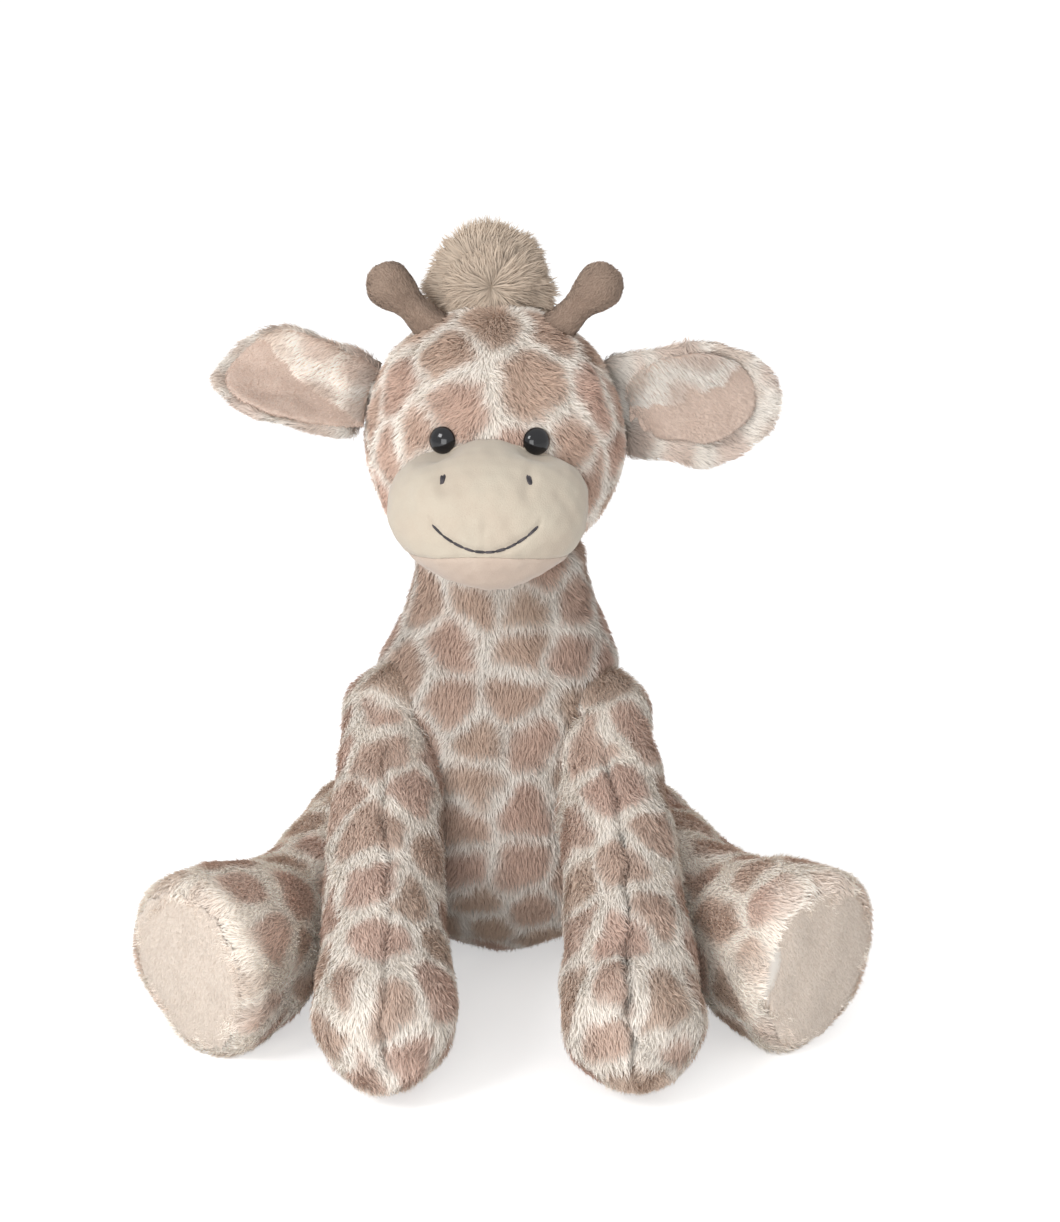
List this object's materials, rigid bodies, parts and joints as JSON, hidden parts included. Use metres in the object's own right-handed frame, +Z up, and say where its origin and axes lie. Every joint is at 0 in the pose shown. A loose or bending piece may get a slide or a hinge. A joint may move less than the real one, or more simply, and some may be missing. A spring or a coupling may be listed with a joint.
{
  "type": "plush giraffe",
  "caption": "Seated plush giraffe with patchwork pile, velour muzzle, knobbed horns, leaf ears, turning head and legs that swing at their sewn roots.",
  "frame": {"origin": "middle of the flat seat patch, on the floor that the toy sits on", "axes": "+Z up, -Y the way the toy faces, +X its own left side"},
  "size_m": [0.2767, 0.2613, 0.285],
  "materials": {
    "plush": "short dense two-tone plush pile: rosy taupe patches on pale cream",
    "velour": "smooth beige velour",
    "horn_velour": "smooth darker taupe velour",
    "long_pile": "long taupe pile",
    "stuffing": "polyester fibre stuffing",
    "pellets": "plastic pellets in a cloth pouch",
    "eye_plastic": "polished black plastic",
    "washer_plastic": "pale moulded plastic",
    "thread": "near-black embroidery thread"
  },
  "bodies": {
    "torso": {"torso_cover": "plush", "torso_filling": "stuffing", "pellet_pouch": "pellets"},
    "head": {"head_cover": "plush", "head_filling": "stuffing", "muzzle_panel": "velour", "chin_panel": "velour", "mouth_stitch": "thread", "topknot": "long_pile", "eye_left": "eye_plastic", "eye_right": "eye_plastic", "eye_washer_left": "washer_plastic", "eye_washer_right": "washer_plastic", "nostril_left": "thread", "nostril_right": "thread", "horn_left": "horn_velour", "horn_right": "horn_velour", "horn_filling_left": "stuffing", "horn_filling_right": "stuffing"},
    "ear_left": {"ear_left": "plush", "ear_lining_left": "velour"},
    "ear_right": {"ear_right": "plush", "ear_lining_right": "velour"},
    "front_leg_left": {"front_leg_left": "plush", "front_leg_filling_left": "stuffing"},
    "front_leg_right": {"front_leg_right": "plush", "front_leg_filling_right": "stuffing"},
    "hind_leg_left": {"hind_leg_left": "plush", "hind_leg_filling_left": "stuffing", "sole_left": "velour"},
    "hind_leg_right": {"hind_leg_right": "plush", "hind_leg_filling_right": "stuffing", "sole_right": "velour"},
    "tail": {"tail": "plush", "tail_tuft": "long_pile"}
  },
  "joints": [
    {"name": "head_turn", "type": "hinge", "parent": "torso", "child": "head", "pos_m": [0, -0.002, 0.208], "axis": [0, 0, 1], "range_deg": [-30, 30], "stiffness_Nm_per_rad": 0.08},
    {"name": "ear_left_flap", "type": "hinge", "parent": "head", "child": "ear_left", "pos_m": [0.04411, 0.00046, 0.22], "axis": [0, 0, 1], "range_deg": [-20, 20], "stiffness_Nm_per_rad": 0.004},
    {"name": "ear_right_flap", "type": "hinge", "parent": "head", "child": "ear_right", "pos_m": [-0.04383, 0.00353, 0.22], "axis": [0, 0, -1], "range_deg": [-20, 20], "stiffness_Nm_per_rad": 0.004},
    {"name": "front_leg_left_swing", "type": "hinge", "parent": "torso", "child": "front_leg_left", "pos_m": [0.0395, -0.015, 0.1015], "axis": [-1, 0, 0], "range_deg": [0, 45]},
    {"name": "front_leg_right_swing", "type": "hinge", "parent": "torso", "child": "front_leg_right", "pos_m": [-0.0395, -0.015, 0.1015], "axis": [-1, 0, 0], "range_deg": [0, 45]},
    {"name": "hind_leg_left_splay", "type": "hinge", "parent": "torso", "child": "hind_leg_left", "pos_m": [0.052, 0.012, 0.031], "axis": [0, 0, 1], "range_deg": [0, 35]},
    {"name": "hind_leg_right_splay", "type": "hinge", "parent": "torso", "child": "hind_leg_right", "pos_m": [-0.052, 0.012, 0.031], "axis": [0, 0, -1], "range_deg": [0, 35]},
    {"name": "tail_swing", "type": "hinge", "parent": "torso", "child": "tail", "pos_m": [0, 0.049, 0.034], "axis": [1, 0, 0], "range_deg": [0, 55]}
  ]
}
